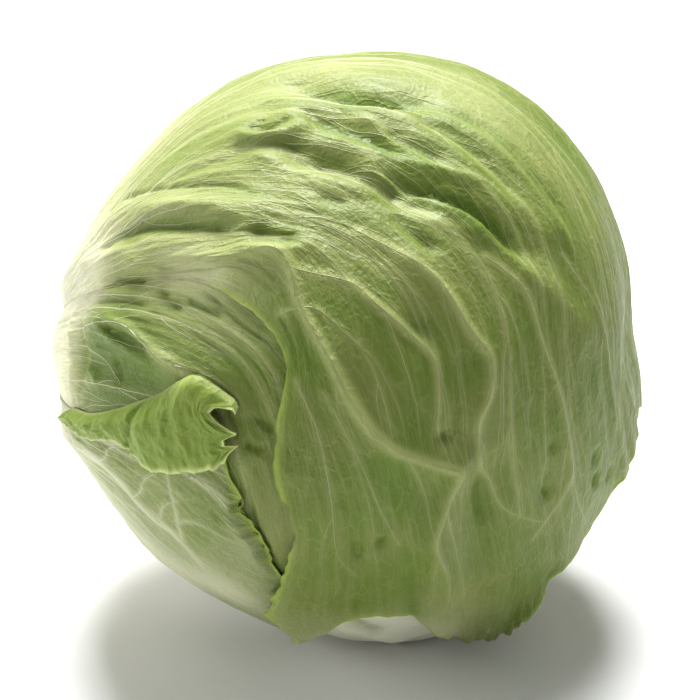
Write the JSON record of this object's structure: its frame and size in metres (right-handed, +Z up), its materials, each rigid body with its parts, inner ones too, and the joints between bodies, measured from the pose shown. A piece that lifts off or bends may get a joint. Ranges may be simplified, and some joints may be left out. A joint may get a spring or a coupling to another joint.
{
  "type": "iceberg lettuce head",
  "caption": "Round iceberg lettuce head lying on its side, its dense heart wrapped in crinkled green leaves that start round a cut stem.",
  "frame": {"origin": "the middle of the small flat spot that the head lies on, straight below the head's centre", "axes": "+X towards the right of the pictured side, -Y out of that side towards the viewer, +Z up. The cut stem points towards -X, a little back and down"},
  "size_m": [0.1697, 0.1661, 0.1619],
  "materials": {
    "heart_tissue": "satin",
    "stem_tissue": "matte",
    "pale_leaf": "satin",
    "wrapper_leaf": "satin"
  },
  "bodies": {
    "root": {"heart": "heart_tissue", "cut_stem": "stem_tissue", "back_leaf": "wrapper_leaf", "low_leaf": "wrapper_leaf", "right_leaf": "wrapper_leaf", "underside_leaf": "pale_leaf", "front_leaf": "wrapper_leaf", "side_leaf": "wrapper_leaf", "cap_leaf": "wrapper_leaf"}
  },
  "joints": []
}
